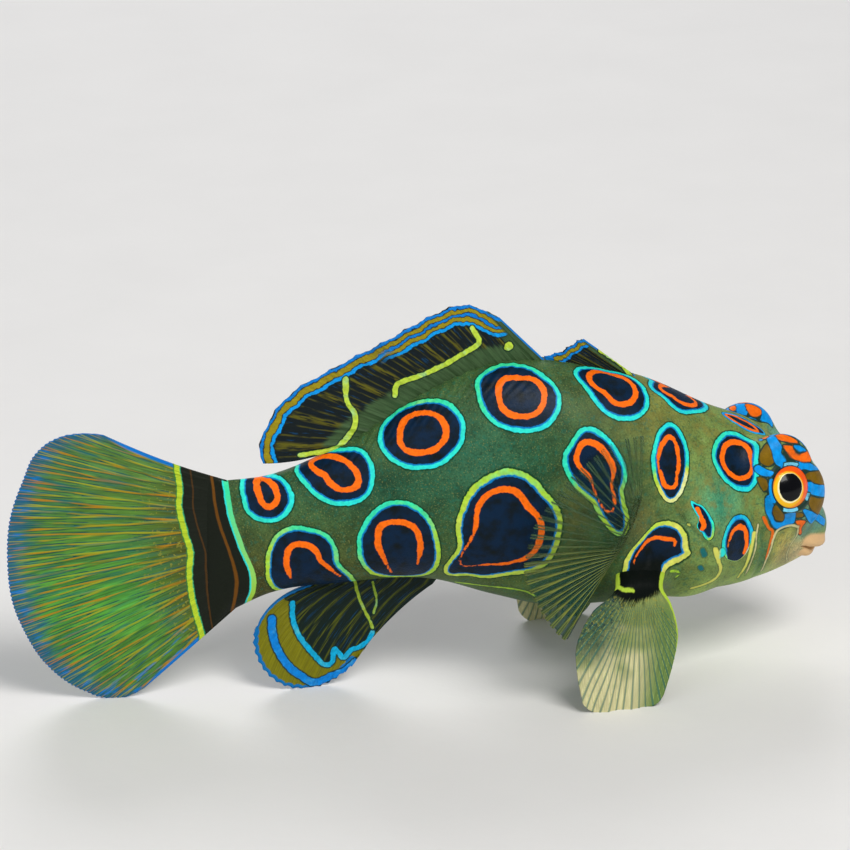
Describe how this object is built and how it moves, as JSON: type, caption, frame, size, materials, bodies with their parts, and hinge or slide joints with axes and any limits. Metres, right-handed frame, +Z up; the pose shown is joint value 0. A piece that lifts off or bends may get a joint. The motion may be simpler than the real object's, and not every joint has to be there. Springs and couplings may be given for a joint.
{
  "type": "spotted mandarinfish model",
  "caption": "Life-size still model of a spotted mandarinfish perched on its pelvic, anal and tail fins, for display or a reef scene.",
  "frame": {"origin": "centre of the bounding box on the floor that the fins rest on", "axes": "+X towards the head along the fish's length, +Y to its left, +Z up"},
  "size_m": [0.0657, 0.0206, 0.0309],
  "materials": {
    "skin": "moist scaleless olive-green skin with ringed spots, satin",
    "tail_fin": "green rayed membrane, blue edge, satin",
    "dark_fin": "dark rayed membrane, blue and olive bands, satin",
    "clear_fin": "thin clear rayed membrane, satin",
    "pelvic_fin": "fleshy black root and olive rayed fan, satin",
    "eye": "wet gloss, orange iris, black pupil"
  },
  "bodies": {
    "root": {"head": "skin", "trunk": "skin", "tail": "skin", "tail_fin": "tail_fin", "first_dorsal_fin": "dark_fin", "second_dorsal_fin": "dark_fin", "anal_fin": "dark_fin", "pectoral_fin_left": "clear_fin", "pectoral_fin_right": "clear_fin", "pelvic_fin_left": "pelvic_fin", "pelvic_fin_right": "pelvic_fin", "eye_left": "eye", "eye_right": "eye"}
  },
  "joints": []
}
